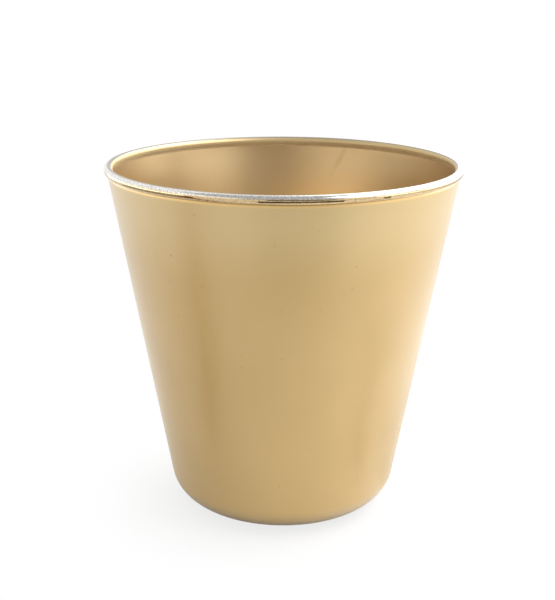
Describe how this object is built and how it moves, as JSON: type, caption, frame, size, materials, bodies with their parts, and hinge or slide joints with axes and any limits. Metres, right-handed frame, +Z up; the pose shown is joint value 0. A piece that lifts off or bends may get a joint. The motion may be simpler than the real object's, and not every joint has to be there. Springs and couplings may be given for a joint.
{
  "type": "cachepot",
  "caption": "Tapered round metal cachepot with a rolled rim and a rounded base corner, satin gold inside and out, standing on small rubber pads.",
  "frame": {"origin": "middle of the circle that the pads stand on, at table level", "axes": "+Z up along the pot's axis of symmetry; -Y towards the viewer of the picture, +X to the right"},
  "size_m": [0.13, 0.13, 0.1307],
  "materials": {
    "gold_finish": "satin gold lacquer on sheet steel, glossier on the rolled rim and worn to silver grey on its top",
    "wire": "plain zinc-plated steel wire, sealed inside the rolled rim",
    "pad_rubber": "matt, slightly cloudy self-adhesive rubber"
  },
  "bodies": {
    "root": {"pot_shell": "gold_finish", "rim_wire": "wire", "foot_pad_1": "pad_rubber", "foot_pad_2": "pad_rubber", "foot_pad_3": "pad_rubber", "foot_pad_4": "pad_rubber"}
  },
  "joints": []
}
